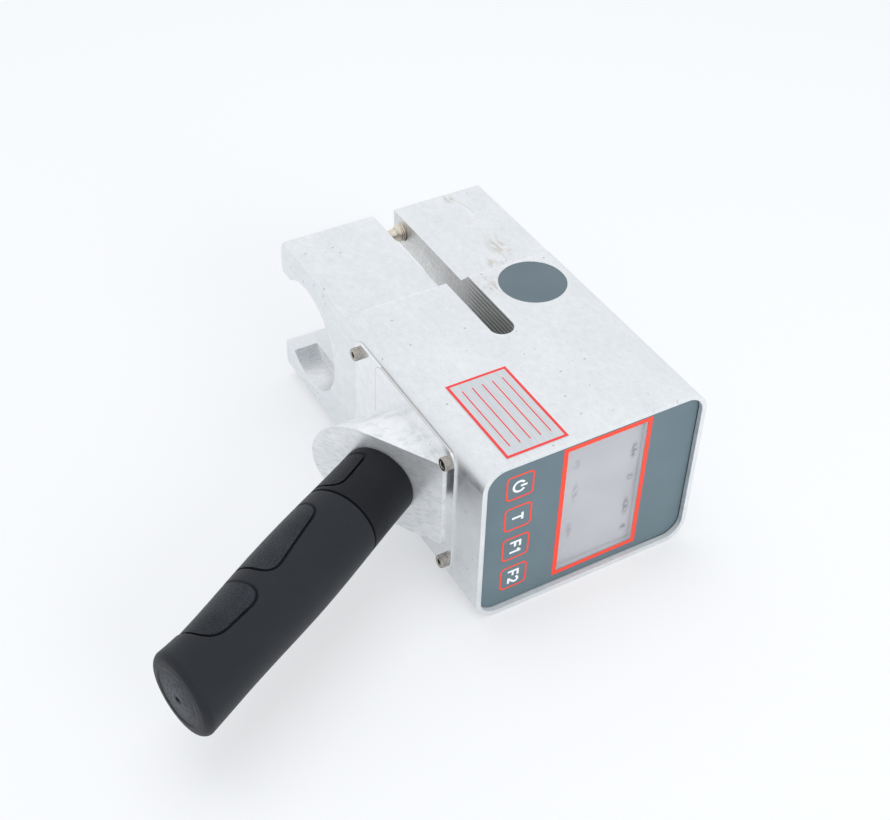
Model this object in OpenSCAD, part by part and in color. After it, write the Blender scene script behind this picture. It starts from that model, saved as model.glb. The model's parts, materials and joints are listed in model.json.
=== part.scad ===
// Hand-held chain tension meter: a forked aluminium body with a display, four keys and a side handle.
// Lengths are in millimetres. X runs across the body, Y from the display to the fork, Z up.
// The origin is on the resting face, in the middle of the stretch between the display and the slot.
// Inside the modules, Y is measured from the front rim, and place() moves a piece to the origin.

/* [Body] */
// Width of the body
body_w = 100; // [97:1:120]
// Height of the body
body_h = 79; // [78:1:96]
// Length of the body from the front rim to the fork's tips
body_l = 170; // [166:1:200]
// Radius of the four long edges
edge_r = 10; // [7:0.5:12]
// How far the fork's top lies below the body's top
step_h = 5.5; // [3:0.5:8]
// Distance from the fork's tips to the body's full height
step_l = 65; // [50:1:70]
// Length of the slope between the fork's top and the body's top
step_slope = 5.5; // [3:0.5:8]

/* [Chain fork] */
// Width of the slot that the chain lies in
slot_w = 10.5; // [8:0.5:12]
// Depth of the slot, from the fork's tips
slot_l = 105; // [100:1:108]
// Height of the lower jaw, from the resting face to the gap
jaw_h = 20; // [18.5:0.5:22]
// Distance from the fork's tips to the centre of the gap's round end
gap_in = 24.3; // [20:0.1:30]
// How far the round link seat in each side reaches past the gap's round end
seat_over = 5.8; // [4:0.1:6.5]
// Depth of each link seat
seat_depth = 11.5; // [6:0.5:16]

/* [Spring plunger] */
// Thread diameter of the plunger's sleeve
plunger_d = 8; // [7.5:0.5:9]
// Length of the sleeve
plunger_l = 20; // [16:1:30]
// How far the sleeve stands out into the slot
plunger_out = 4; // [2:0.5:5]
// Diameter of the pin's nose
nose_d = 5.4; // [4:0.1:5.6]
// How far the nose stands out of the sleeve at rest
nose_out = 4.5; // [4:0.1:5]
// How far the pin can be pressed in
pin_travel = 4; // [2:0.1:4.2]
// Distance from the fork's tips to the plunger
plunger_in = 8.3; // [7:0.1:12]
// Distance from the lowered top to the plunger
plunger_down = 6.8; // [6:0.1:8]
// Wire diameter of the plunger's spring
spring_wire = 0.6; // [0.4:0.1:0.8]
// Number of turns of the spring
spring_turns = 8; // [5:1:10]

/* [Gauge pocket] */
// Diameter of the pocket's round cover
cover_d = 28.5; // [25:0.5:30]
// Thickness of the cover
cover_t = 2; // [1:0.5:4]
// Distance from the body's right side to the cover's middle
cover_in = 23; // [20:0.5:26]
// Distance of the cover from the front rim
cover_y = 89.5; // [84:0.5:110]
// Depth of the pocket below the body's top
pocket_depth = 20; // [15:1:26]
// Diameter of the gauge's lead
lead_d = 3; // [2:0.5:4]

/* [Front panel] */
// Width of the rim round the panel
rim_w = 2; // [1.5:0.5:4]
// How far the panel's face lies behind the rim
panel_set = 2.5; // [1.5:0.5:4]
// Thickness of the printed film
film_t = 0.5; // [0.3:0.1:0.8]
// Thickness of the plate behind the film
plate_t = 2; // [1.5:0.5:3]
// Thickness of the gasket
gasket_t = 1; // [0.5:0.5:2]
// Width of the ledge at the panel's left and right
ledge_side = 6; // [5.5:0.5:7]
// Width of the ledge at the panel's top and bottom
ledge_top = 3; // [2.5:0.5:3.5]
// Wall between the electronics and the end of the slot
slot_wall = 11; // [8:1:14]

/* [Display and keys] */
// Distance from the body's top and bottom to the display window
window_top = 7.5; // [7.5:0.5:14]
// Distance from the body's left side to the window
window_left = 38.2; // [37:0.1:42]
// Distance from the body's right side to the window
window_right = 25.8; // [22:0.1:30]
// Side of a square key
key_size = 11; // [9:0.5:12]
// Distance between keys
key_pitch = 16.2; // [14:0.1:17]
// Distance from the body's left side to the keys' middle
key_in = 17.7; // [16:0.1:19]
// Travel of a key
key_travel = 0.4; // [0.2:0.1:0.6]

/* [Electronics] */
// Length of the posts that carry the circuit board
post_l = 6; // [5.5:0.5:9]
// Thickness of the circuit board
board_t = 1.6; // [1:0.2:2.4]
// Room round the circuit board
board_room = 2; // [1:0.5:3]
// Diameter of a battery cell
cell_d = 14.5; // [10.5:0.5:16]
// Length of a battery cell
cell_l = 50.5; // [44.5:0.5:60]

/* [Label] */
// Width of the label across the body
label_w = 26.5; // [15:0.5:30]
// Length of the label along the body
label_l = 44.6; // [30:0.1:60]
// Thickness of the label
label_t = 0.2; // [0.1:0.1:0.5]
// Distance from the body's left side to the label's middle
label_in = 24.9; // [23:0.1:28]
// Distance from the front rim to the label
label_y = 3.5; // [2:0.5:10]

/* [Handle bracket] */
// Length of the bracket's flange along the body
flange_l = 80; // [76:1:90]
// Height of the flange
flange_h = 62.5; // [60:0.5:64]
// Thickness of the flange
flange_t = 0.8; // [0.6:0.1:2]
// Radius of the flange's corners
flange_r = 5; // [3:0.5:5]
// Distance from the front rim to the flange
flange_y = 18.8; // [17:0.1:24]
// How far the flange's middle lies above the body's mid-height
bracket_up = 1.3; // [0:0.1:2]
// Distance of the flange's screws from its front and back edges
screw_in_y = 4; // [3.8:0.1:5]
// Distance of the flange's screws from its top and bottom edges
screw_in_z = 5.1; // [4:0.1:5.5]
// Height of the boss
boss_h = 42; // [36:1:43]
// How far the boss's middle lies above the flange's middle
boss_up = 1.5; // [0:0.1:1.6]
// Distance from the flange's front edge to the boss's thin end
boss_in = 6.6; // [5:0.1:9]
// Distance from the thin end to the centre of the boss's round end
boss_run = 30.4; // [26:0.1:34]
// Height of the thin end above the flange
boss_lip = 0.9; // [0.5:0.1:2]
// Angle between the handle and the square to the body's side
handle_tilt = 30; // [27:1:33]
// Distance from the thin end to where the handle meets the boss, along the body
handle_run = 24.1; // [22:0.1:27]

/* [Handle] */
// Length of the grip, along its axis
grip_l = 124; // [118:1:140]
// Radius of the grip at the boss
neck_r = 15.5; // [14.5:0.1:17]
// Radius of the grip at its belly
belly_r = 16.5; // [15.5:0.1:18]
// Radius of the grip's waist, before its end
waist_r = 15.4; // [14.5:0.1:16]
// Radius of the grip's flared end
flare_r = 15.9; // [15.6:0.1:17.5]
// How far the flared end is set towards the back
flare_shift = 1.3; // [0.4:0.1:1.5]
// Slant of the grip's end face
end_tilt = 17; // [5:1:20]
// How far the end face bulges out
end_bulge = 1; // [0.5:0.1:3]
// Rounding of the end face's edge
grip_round = 3; // [2:0.5:5]
// Outer diameter of the handle's tube
tube_d = 22; // [20:0.5:24]
// Wall of the handle's tube
tube_wall = 2; // [1.5:0.5:3]
// Depth of the socket that the tube stands in
socket_depth = 6; // [4:0.5:7]
// Thickness of the pads set into the grip
pad_t = 1.2; // [0.8:0.1:2]
// Width of the groove round each pad
groove_w = 0.7; // [0.4:0.1:1.2]

/* [Hidden] */

$fn = 64;

// Colours of the materials
aluminium = [0.80, 0.81, 0.82];
steel = [0.68, 0.68, 0.70];
brass = [0.72, 0.62, 0.40];
panel_grey = [0.36, 0.42, 0.46];
rubber = [0.10, 0.10, 0.11];
pad_rubber = [0.14, 0.14, 0.15];
board_green = [0.10, 0.34, 0.18];
plastic_black = [0.12, 0.12, 0.13];
display_grey = [0.78, 0.78, 0.82];
label_grey = [0.72, 0.74, 0.76];

// Clearances
running = 0.05;      // radial, between a pin and the bore that it slides in
loose = 0.3;         // between faces of pieces that move past each other
seat_gap = 0.1;      // round a panel or cover in its recess
thread_gap = 0.025;  // radial, between a screw and its tapped hole
over = 1;            // how far a cut runs past the face that it opens

// Screws: thread, head and the holes that take them
m3 = 3;
m3_clear = 3.4;
m3_head_d = 5.5;
m3_head_h = 3;
m3_key = 2.5;
m3_sink_d = 5.6;
m3_sink_h = 1.5;
m25 = 2.5;
m25_head_d = 4.5;
m25_head_h = 2;
m25_key = 2;
m6 = 6;
m6_clear = 6.6;
m6_head_d = 10;
m6_head_h = 4;
m6_key = 4;

// Body
mid_z = body_h / 2;
top_z = body_h - step_h;
side_x = body_w / 2;
slot_end = body_l - slot_l;
origin_y = slot_end / 2;
gap_y = body_l - gap_in;
gap_h = body_h - 2 * jaw_h;
seat_r = gap_h / 2 + seat_over;

// Panel stack, from the front rim backwards
plate_y = panel_set + film_t;
plate_back = plate_y + plate_t;
ledge_y = plate_back + gasket_t;
recess_w = body_w - 2 * rim_w;
recess_h = body_h - 2 * rim_w;
recess_r = edge_r - rim_w;
cavity_w = recess_w - 2 * ledge_side;
cavity_h = recess_h - 2 * ledge_top;
cavity_r = 4;
cavity_back = slot_end - slot_wall;
plate_screw_x = recess_w / 2 - ledge_side / 2;
plate_screw_z = body_h / 4;
plate_screw_l = 8;

// Window and keys
window_w = body_w - window_left - window_right;
window_h = body_h - 2 * window_top;
window_x = (window_left - window_right) / 2;
key_x = key_in - side_x;
key_count = 4;
key_stem_d = 3.4;
switch_side = 6;
switch_h = 4.5;
switch_floor = 1.2;

// Display module and circuit board
board_y = plate_back + post_l;
board_w = cavity_w - 2 * board_room;
board_h = cavity_h - 2 * board_room;
lcd_t = 2.8;
lcd_edge = 0.9;
lcd_over = 0.2;
lcd_w = window_w + 2 * lcd_edge;
lcd_h = window_h + 2 * lcd_over;
lcd_wall = 1.4;
lcd_ledge = 2;
lcd_y = plate_back + seat_gap;
lcd_frame_w = lcd_w + 2 * lcd_wall;
lcd_frame_h = lcd_h + 2 * lcd_wall;
post_d = 5;
post_inset = 4;
post_left = (key_x + key_size / 2 + window_x - lcd_frame_w / 2) / 2;
post_right = board_w / 2 - post_inset;
post_z = board_h / 2 - post_inset;
board_screw_l = post_l - 1;

// Battery holder, on the back wall of the electronics
holder_base = 2;
holder_wall = 1.5;
holder_lift = 3;
cell_room = 0.25;
cell_step = cell_d + 2 * cell_room;
holder_z = mid_z - cavity_h / 2 + holder_lift;
holder_l = cell_l + 2 * cell_room + 2 * holder_wall;
holder_h = 2 * cell_step + 2 * holder_wall;
holder_y = cavity_back - holder_base;
cell_y = holder_y - cell_room - cell_d / 2;
cell_tip_d = 5.5;
cell_tip_l = 1.2;

// Gauge pocket
cover_x = side_x - cover_in;
cover_sunk = 0.15;
cover_rest = 2.2;
pocket_d = cover_d - 2 * cover_rest;
pocket_z = body_h - pocket_depth;
gauge_w = 8;
gauge_l = 12;
gauge_t = 0.3;
lead_z = pocket_z + gauge_t + lead_d / 2;
lead_room = 0.75;
lead_hole_d = lead_d + 2 * lead_room;
lead_grip = 3;

// Plunger
plunger_y = body_l - plunger_in;
plunger_z = top_z - plunger_down;
sleeve_x = slot_w / 2 - plunger_out;
sleeve_lip = 1.2;
sleeve_end = 2;
collar_rim = 0.3;
collar_d = nose_d + 2 * collar_rim;
collar_l = 3;
sleeve_bore = collar_d + 2 * running;
collar_x = sleeve_x + sleeve_lip + running;
spring_room = plunger_l - sleeve_lip - collar_l - sleeve_end - 2 * running;
spring_r = sleeve_bore / 2 - spring_wire / 2 - 2 * running;
spring_rise = spring_room - spring_wire - 2 * running;
spring_rings = 12;
spring_sides = 6;
tail_d = 2 * (spring_r - spring_wire / 2 - loose);
tail_l = spring_room - pin_travel - running;

// Bracket
bracket_z = mid_z + bracket_up;
boss_z = bracket_z + boss_up;
flange_x = -side_x - flange_t;
boss_r = boss_h / 2;
boss_y = flange_y + boss_in;
boss_tall = (boss_run + boss_r) * tan(handle_tilt) + boss_lip;
bracket_screw_l = 5;
screw_y = [flange_y + screw_in_y, flange_y + flange_l - screw_in_y];
screw_z = [bracket_z - flange_h / 2 + screw_in_z, bracket_z + flange_h / 2 - screw_in_z];

// Handle, measured outwards from the boss's slanted face
handle_x = flange_x - boss_lip - handle_run * tan(handle_tilt);
handle_y = boss_y + handle_run;
screw_web = 4;
screw_seat = socket_depth + screw_web;
handle_back = (-side_x - handle_x) / cos(handle_tilt) + tube_d;
plug_l = 24;
handle_screw_l = 26;
grip_end = 13;
belly_at = 0.46 * grip_l;
waist_at = 0.85 * grip_l;
flare_at = 0.965 * grip_l;
ring_at = 0.224 * grip_l;
grip_past = 12;
inner_taper = 1.5;
end_spread = 0.4;
vent_d = 2;
vent_shift = 1.2;
flare_root = 0.2;
ring_w = 0.9;
ring_depth = 0.9;
blend_steps = 6;
// Each pad: its start and end along the grip, how far its edge lies from the grip's middle at the start
// and at the end, and the radii of its two corners
pads = [
    [5, 25, 3.4, 2.2, 1.5, 6],
    [37.5, 73.5, 2.4, -2.2, 7, 7],
    [81.5, 107, -4.2, -2, 7, 7]
];

// Moves a piece from the front rim's frame to the part's origin
module place() {
    translate([0, -origin_y, 0]) children();
}

// Extrudes an outline drawn in X and Z along Y
module along_y(y0, y1) {
    translate([0, y1, 0]) rotate([90, 0, 0]) linear_extrude(y1 - y0) children();
}

// Extrudes an outline drawn in Y and Z along X
module along_x(x0, x1) {
    translate([x0, 0, 0]) rotate([90, 0, 90]) linear_extrude(x1 - x0) children();
}

// A rectangle with round corners, about its middle
module round_rect(w, h, r) {
    square([w - 2 * r, h], center = true);
    square([w, h - 2 * r], center = true);
    for (x = [-1, 1], y = [-1, 1])
        translate([x * (w / 2 - r), y * (h / 2 - r)]) circle(r);
}

// A plate with round corners, at the body's mid-height
module panel(w, h, r, y0, y1) {
    along_y(y0, y1) translate([0, mid_z]) round_rect(w, h, r);
}

// A block about a point in X and Z
module slab(x, z, w, h, y0, y1) {
    translate([x - w / 2, y0, z - h / 2]) cube([w, y1 - y0, h]);
}

// A round bar along Y
module rod_y(x, z, d, y0, y1) {
    translate([x, y1, z]) rotate([90, 0, 0]) cylinder(d = d, h = y1 - y0);
}

// A round bar along X
module rod_x(y, z, d, x0, x1) {
    translate([x0, y, z]) rotate([0, 90, 0]) cylinder(d = d, h = x1 - x0);
}

// A socket-head screw along -Z, with the seat of its head at the origin
module socket_screw(thread, l, head_d, head_h, key) {
    difference() {
        union() {
            cylinder(d = head_d, h = head_h);
            translate([0, 0, -l]) cylinder(d = thread - 2 * thread_gap, h = l + over / 2);
        }
        translate([0, 0, head_h / 2]) cylinder(d = key / cos(30), h = head_h, $fn = 6);
    }
}

// The four places of the bracket's screws, looking at the body's left side
module at_bracket_screws(x) {
    for (y = screw_y, z = screw_z)
        translate([x, y, z]) rotate([0, -90, 0]) children();
}

// The four places of the panel's screws, in the side ledges
module at_plate_screws(y) {
    for (x = [-1, 1], z = [-1, 1])
        translate([x * plate_screw_x, y, mid_z + z * plate_screw_z]) rotate([90, 0, 0]) children();
}

// The four places of the board's posts
module at_posts(y) {
    for (x = [post_left, post_right], z = [-1, 1])
        translate([x, y, mid_z + z * post_z]) rotate([-90, 0, 0]) children();
}

// Height of a key in the column, counted from the top
function key_z(i) = mid_z + ((key_count - 1) / 2 - i) * key_pitch;

// The handle's own frame: Z along the handle from the boss's face, X up, Y away from the display
module on_handle() {
    translate([handle_x, handle_y, boss_z]) rotate([0, 0, handle_tilt]) rotate([0, -90, 0]) children();
}

module lowered_top() {
    slope_y = body_l - step_l;
    along_x(-body_w, body_w) polygon([
        [slope_y - over * step_slope / step_h, body_h + over],
        [slope_y + step_slope, top_z],
        [body_l + over, top_z],
        [body_l + over, body_h + over]
    ]);
}

module chain_slot() {
    translate([0, slot_end + slot_w / 2, -over]) {
        cylinder(d = slot_w, h = body_h + 2 * over);
        translate([-slot_w / 2, 0, 0]) cube([slot_w, slot_l, body_h + 2 * over]);
    }
}

module jaw_gap() {
    along_x(-side_x - over, side_x + over) translate([gap_y, mid_z]) {
        circle(d = gap_h);
        translate([0, -gap_h / 2]) square([gap_in + over, gap_h]);
    }
    rod_x(gap_y, mid_z, 2 * seat_r, -side_x - over, -side_x + seat_depth);
    rod_x(gap_y, mid_z, 2 * seat_r, side_x - seat_depth, side_x + over);
}

module gauge_pocket() {
    translate([cover_x, cover_y, body_h - cover_sunk - cover_t])
        cylinder(d = cover_d + 2 * seat_gap, h = cover_t + over);
    translate([cover_x, cover_y, pocket_z]) cylinder(d = pocket_d, h = pocket_depth);
    rod_y(cover_x, lead_z, lead_hole_d, cavity_back - over, cover_y - pocket_d / 2 + over);
}

module body_block() {
    color(aluminium) place() difference() {
        panel(body_w, body_h, edge_r, 0, body_l);
        lowered_top();
        chain_slot();
        jaw_gap();
        gauge_pocket();
        panel(recess_w, recess_h, recess_r, -over, ledge_y);
        panel(cavity_w, cavity_h, cavity_r, ledge_y - over, cavity_back);
        at_plate_screws(ledge_y + plate_screw_l + over) cylinder(d = m3, h = plate_screw_l + 2 * over);
        at_bracket_screws(-side_x + bracket_screw_l + over) cylinder(d = m3, h = bracket_screw_l + 2 * over);
        rod_x(plunger_y, plunger_z, plunger_d, 0, side_x + over);
    }
}

module gauge_cover() {
    color(panel_grey) place() translate([cover_x, cover_y, body_h - cover_sunk - cover_t])
        cylinder(d = cover_d, h = cover_t);
}

module strain_gauge() {
    color(brass) place() translate([cover_x - gauge_w / 2, cover_y - gauge_l / 2, pocket_z])
        cube([gauge_w, gauge_l, gauge_t]);
}

module gauge_lead() {
    color(plastic_black) place()
        rod_y(cover_x, lead_z, lead_d, board_y + board_t, cover_y - gauge_l / 2 + lead_grip);
}

module label_plate() {
    color(label_grey) place() translate([label_in - side_x - label_w / 2, label_y, body_h])
        cube([label_w, label_l, label_t]);
}

module front_gasket() {
    color(rubber) place() difference() {
        panel(recess_w - 2 * seat_gap, recess_h - 2 * seat_gap, recess_r - seat_gap, plate_back, ledge_y);
        panel(cavity_w, cavity_h, cavity_r, plate_back - over, ledge_y + over);
        at_plate_screws(ledge_y + over) cylinder(d = m3_clear, h = gasket_t + 2 * over);
    }
}

// The opening that takes the display window
module window_hole(y0, y1) {
    slab(window_x, mid_z, window_w + 2 * seat_gap, window_h + 2 * seat_gap, y0, y1);
}

// The openings round the keys
module key_holes(gap, y0, y1) {
    for (i = [0 : key_count - 1])
        slab(key_x, key_z(i), key_size + 2 * gap, key_size + 2 * gap, y0, y1);
}

module front_plate() {
    color(aluminium) place() difference() {
        panel(recess_w - 2 * seat_gap, recess_h - 2 * seat_gap, recess_r - seat_gap, plate_y, plate_back);
        window_hole(plate_y - over, plate_back + over);
        key_holes(loose, plate_y - over, plate_back + over);
        at_plate_screws(plate_back + over) cylinder(d = m3_clear, h = plate_t + 2 * over);
        at_plate_screws(plate_y + m3_sink_h) {
            cylinder(d1 = m3, d2 = m3_sink_d, h = m3_sink_h);
            translate([0, 0, m3_sink_h]) cylinder(d = m3_sink_d, h = over);
        }
    }
}

module front_plate_screws() {
    color(steel) place() at_plate_screws(plate_y + m3_sink_h) {
        cylinder(d1 = m3 - 2 * thread_gap, d2 = m3_sink_d - 2 * thread_gap, h = m3_sink_h - thread_gap);
        translate([0, 0, m3_sink_h - ledge_y + plate_y - plate_screw_l])
            cylinder(d = m3 - 2 * thread_gap, h = plate_screw_l + ledge_y - plate_y - m3_sink_h / 2);
    }
}

module keypad_film() {
    color(panel_grey) place() difference() {
        panel(recess_w - 2 * seat_gap, recess_h - 2 * seat_gap, recess_r - seat_gap, panel_set, plate_y);
        window_hole(panel_set - over, plate_y + over);
        key_holes(running, panel_set - over, plate_y + over);
    }
}

module display_window() {
    color(display_grey, 0.5) place() slab(window_x, mid_z, window_w, window_h, panel_set, plate_back);
}

// One key: the film's square with the stem of the switch behind it
module key(i) {
    color(panel_grey) place() {
        slab(key_x, key_z(i), key_size, key_size, panel_set, plate_y);
        rod_y(key_x, key_z(i), key_stem_d, plate_y, board_y - switch_floor - key_travel - running);
    }
}

module key_power() {
    key(0);
}

module key_tare() {
    key(1);
}

module key_f1() {
    key(2);
}

module key_f2() {
    key(3);
}

module key_switches() {
    color(plastic_black) place() for (i = [0 : key_count - 1]) difference() {
        slab(key_x, key_z(i), switch_side, switch_side, board_y - switch_h, board_y);
        rod_y(key_x, key_z(i), key_stem_d + 2 * running, board_y - switch_h - over, board_y - switch_floor);
    }
}

module lcd_panel() {
    color(display_grey) place() slab(window_x, mid_z, lcd_w, lcd_h, lcd_y, lcd_y + lcd_t);
}

module lcd_frame() {
    color(plastic_black) place() difference() {
        slab(window_x, mid_z, lcd_frame_w, lcd_frame_h, plate_back, board_y);
        slab(window_x, mid_z, lcd_w + 2 * seat_gap, lcd_h + 2 * seat_gap, plate_back - over, lcd_y + lcd_t);
        slab(window_x, mid_z, lcd_w - 2 * lcd_ledge, lcd_h - 2 * lcd_ledge, plate_back, board_y + over);
    }
}

module main_board() {
    color(board_green) place() difference() {
        slab(0, mid_z, board_w, board_h, board_y, board_y + board_t);
        at_posts(board_y - over) cylinder(d = m25 + 2 * seat_gap, h = board_t + 2 * over);
    }
}

module board_posts() {
    color(steel) place() at_posts(plate_back) difference() {
        cylinder(d = post_d, h = post_l);
        translate([0, 0, post_l - board_screw_l]) cylinder(d = m25, h = board_screw_l + over);
    }
}

module board_screws() {
    color(steel) place() at_posts(board_y + board_t)
        socket_screw(m25, board_t + board_screw_l - seat_gap, m25_head_d, m25_head_h, m25_key);
}

module battery_holder() {
    low = [-holder_l / 2, cell_y, holder_z];
    color(plastic_black) place() difference() {
        translate(low) cube([holder_l, cavity_back - cell_y, holder_h]);
        translate(low + [holder_wall, -over, holder_wall])
            cube([holder_l - 2 * holder_wall, holder_y - cell_y + over, holder_h - 2 * holder_wall]);
    }
}

module batteries() {
    color(steel) place() for (i = [0, 1]) {
        z = holder_z + holder_wall + (i + 0.5) * cell_step;
        x = -cell_l / 2;
        rod_x(cell_y, z, cell_d, x, x + cell_l - cell_tip_l);
        rod_x(cell_y, z, cell_tip_d, x + cell_l / 2, x + cell_l);
    }
}

module plunger_body() {
    color(brass) place() difference() {
        rod_x(plunger_y, plunger_z, plunger_d - 2 * thread_gap, sleeve_x, sleeve_x + plunger_l);
        rod_x(plunger_y, plunger_z, nose_d + 2 * running, sleeve_x - over, sleeve_x + sleeve_lip + over);
        rod_x(plunger_y, plunger_z, sleeve_bore, sleeve_x + sleeve_lip, sleeve_x + plunger_l - sleeve_end);
    }
}

// The nose is a straight stem with a dome of the same radius; the tail inside the spring ends the travel
module plunger_pin() {
    dome_x = sleeve_x - nose_out + nose_d / 2;
    color(brass) place() {
        rod_x(plunger_y, plunger_z, nose_d, dome_x, collar_x + collar_l / 2);
        translate([dome_x, plunger_y, plunger_z]) sphere(d = nose_d);
        rod_x(plunger_y, plunger_z, collar_d, collar_x, collar_x + collar_l);
        rod_x(plunger_y, plunger_z, tail_d, collar_x + collar_l / 2, collar_x + collar_l + tail_l);
    }
}

// A point of the spring's tube: its ring along the helix, then its side round the wire
function spring_point(ring, side) =
    let (turn = ring / spring_rings)
    let (r = spring_r + spring_wire / 2 * cos(360 * side / spring_sides))
    let (rise = spring_wire / 2 + running + spring_rise * turn / spring_turns)
    [rise + spring_wire / 2 * sin(360 * side / spring_sides), r * cos(360 * turn), r * sin(360 * turn)];

module plunger_spring() {
    rings = spring_turns * spring_rings;
    points = [for (i = [0 : rings], k = [0 : spring_sides - 1]) spring_point(i, k)];
    sides = [
        for (i = [0 : rings - 1], k = [0 : spring_sides - 1], half = [0, 1])
            let (a = i * spring_sides, next = (k + 1) % spring_sides)
            half == 0 ? [a + k, a + next, a + spring_sides + k]
                : [a + next, a + spring_sides + next, a + spring_sides + k]
    ];
    ends = [
        for (k = [1 : spring_sides - 2], last = [0, rings * spring_sides])
            last == 0 ? [0, k + 1, k] : [last, last + k, last + k + 1]
    ];
    echo(least_gap_between_turns = spring_rise / spring_turns - spring_wire);
    color(steel) place() translate([collar_x + collar_l, plunger_y, plunger_z])
        polyhedron(points, concat(sides, ends));
}

// The boss: a tongue with a round end, cut off by a plane at the handle's tilt
module boss() {
    difference() {
        along_x(flange_x - boss_tall, flange_x + flange_t / 2) {
            translate([boss_y, boss_z - boss_r]) square([boss_run, boss_h]);
            translate([boss_y + boss_run, boss_z]) circle(boss_r);
        }
        translate([flange_x - boss_lip, boss_y, 0]) rotate([0, 0, handle_tilt])
            translate([-2 * boss_tall, -body_l, -over]) cube([2 * boss_tall, 2 * body_l, body_h + 2 * over]);
    }
}

module handle_bracket() {
    color(aluminium) place() difference() {
        union() {
            along_x(flange_x, -side_x) translate([flange_y + flange_l / 2, bracket_z])
                round_rect(flange_l, flange_h, flange_r);
            boss();
        }
        at_bracket_screws(-side_x + over) cylinder(d = m3_clear, h = flange_t + 2 * over);
        on_handle() {
            translate([0, 0, -socket_depth]) cylinder(d = tube_d + 2 * seat_gap, h = socket_depth + over);
            translate([0, 0, -screw_seat - over]) cylinder(d = m6_clear, h = screw_web + 2 * over);
            translate([0, 0, -handle_back]) cylinder(d = m6_head_d + 2 * loose, h = handle_back - screw_seat);
        }
    }
}

module bracket_screws() {
    color(steel) place() at_bracket_screws(flange_x)
        socket_screw(m3, bracket_screw_l + flange_t, m3_head_d, m3_head_h, m3_key);
}

module handle_tube() {
    color(steel) place() on_handle() translate([0, 0, -socket_depth]) difference() {
        cylinder(d = tube_d, h = socket_depth + grip_l - grip_end);
        translate([0, 0, -over]) cylinder(d = tube_d - 2 * tube_wall, h = socket_depth + grip_l);
    }
}

module handle_plug() {
    color(steel) place() on_handle() translate([0, 0, -socket_depth]) difference() {
        cylinder(d = tube_d - 2 * tube_wall - 2 * thread_gap, h = plug_l);
        translate([0, 0, -over]) cylinder(d = m6, h = plug_l + 2 * over);
    }
}

module handle_screw() {
    color(steel) place() on_handle() translate([0, 0, -screw_seat]) mirror([0, 0, 1])
        socket_screw(m6, handle_screw_l, m6_head_d, m6_head_h, m6_key);
}

// A smooth change from a to b as t goes from 0 to 1
function ease(a, b, t) = a + (b - a) * (1 - cos(180 * t)) / 2;

// Stations of the grip's outline: distance along it, and radius
stations = [
    [0, neck_r],
    [belly_at, belly_r],
    [waist_at, waist_r],
    [grip_l + grip_past, waist_r - inner_taper]
];

// Outline of the grip's stem, sunk below its surface by a depth, as [radius, distance]
function grip_outline(depth) = concat(
    [[0, 0]],
    [
        for (k = [0 : len(stations) - 2], i = [0 : blend_steps])
            let (t = i / blend_steps, a = stations[k], b = stations[k + 1])
            if (i < blend_steps || k == len(stations) - 2)
                [ease(a[1], b[1], t) - depth, a[0] + (b[0] - a[0]) * t]
    ],
    [[0, grip_l + grip_past]]
);

module grip_form(depth) {
    rotate_extrude() polygon(grip_outline(depth));
}

// The flared end, set towards the back
module grip_flare() {
    translate([0, flare_shift, waist_at])
        cylinder(r1 = waist_r - flare_shift - flare_root, r2 = flare_r, h = flare_at - waist_at);
    translate([0, flare_shift, flare_at]) cylinder(r = flare_r, h = grip_l + grip_past - flare_at);
}

// The frame of the slanted end face's edge, with Z along the face's normal
module on_grip_end() {
    translate([0, flare_shift, grip_l - end_bulge]) rotate([-end_tilt, 0, 0]) children();
}

// All that lies behind the slanted, bulging end face and its round edge
module behind_grip_end() {
    far = 2 * grip_l;
    face = [
        for (i = [0 : blend_steps - 1])
            let (t = i / blend_steps)
            [t * (flare_r - grip_round), end_bulge * (1 - t * t)]
    ];
    edge = [
        for (i = [0 : blend_steps])
            let (angle = 90 * i / blend_steps)
            [flare_r + grip_round * (sin(angle) - 1), grip_round * (cos(angle) - 1)]
    ];
    on_grip_end() rotate_extrude()
        polygon(concat([[0, -far]], face, edge, [[flare_r + end_spread * far, -far]]));
}

// Points of a round corner at b, between a and c
function corner(a, b, c, r) =
    let (p = b + r * (a - b) / norm(a - b), q = b + r * (c - b) / norm(c - b))
    [
        for (i = [0 : blend_steps])
            let (t = i / blend_steps)
            (1 - t) * (1 - t) * p + 2 * t * (1 - t) * b + t * t * q
    ];

// A pad's outline seen from above, carried right through the grip, and grown by a margin
module pad_cut(pad, grow) {
    far = 2 * belly_r;
    a = [pad[0] - grow, pad[2] - grow];
    b = [pad[1] + grow, pad[3] - grow];
    outline = concat(
        [[a[0], far]],
        corner([a[0], far], a, b, pad[4]),
        corner(a, b, [b[0], far], pad[5]),
        [[b[0], far]]
    );
    translate([-far, 0, 0]) rotate([90, 0, 90]) rotate([0, 0, 90]) mirror([0, 1, 0])
        linear_extrude(2 * far) polygon(outline);
}

module grip() {
    color(rubber) place() on_handle() difference() {
        intersection() {
            union() {
                grip_form(0);
                grip_flare();
            }
            behind_grip_end();
        }
        translate([0, 0, -over]) cylinder(d = tube_d + 2 * thread_gap, h = grip_l - grip_end + over);
        on_grip_end() translate([0, -vent_shift, -grip_end])
            cylinder(d = vent_d, h = grip_end + end_bulge + over);
        translate([0, 0, ring_at]) difference() {
            cylinder(r = 2 * belly_r, h = ring_w);
            translate([0, 0, -over]) cylinder(r = belly_r - ring_depth, h = ring_w + 2 * over);
        }
        for (pad = pads) difference() {
            pad_cut(pad, groove_w);
            grip_form(pad_t);
        }
    }
}

module grip_pads() {
    color(pad_rubber) place() on_handle() for (pad = pads) difference() {
        intersection() {
            grip_form(0);
            pad_cut(pad, 0);
        }
        grip_form(pad_t - thread_gap);
    }
}

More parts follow.
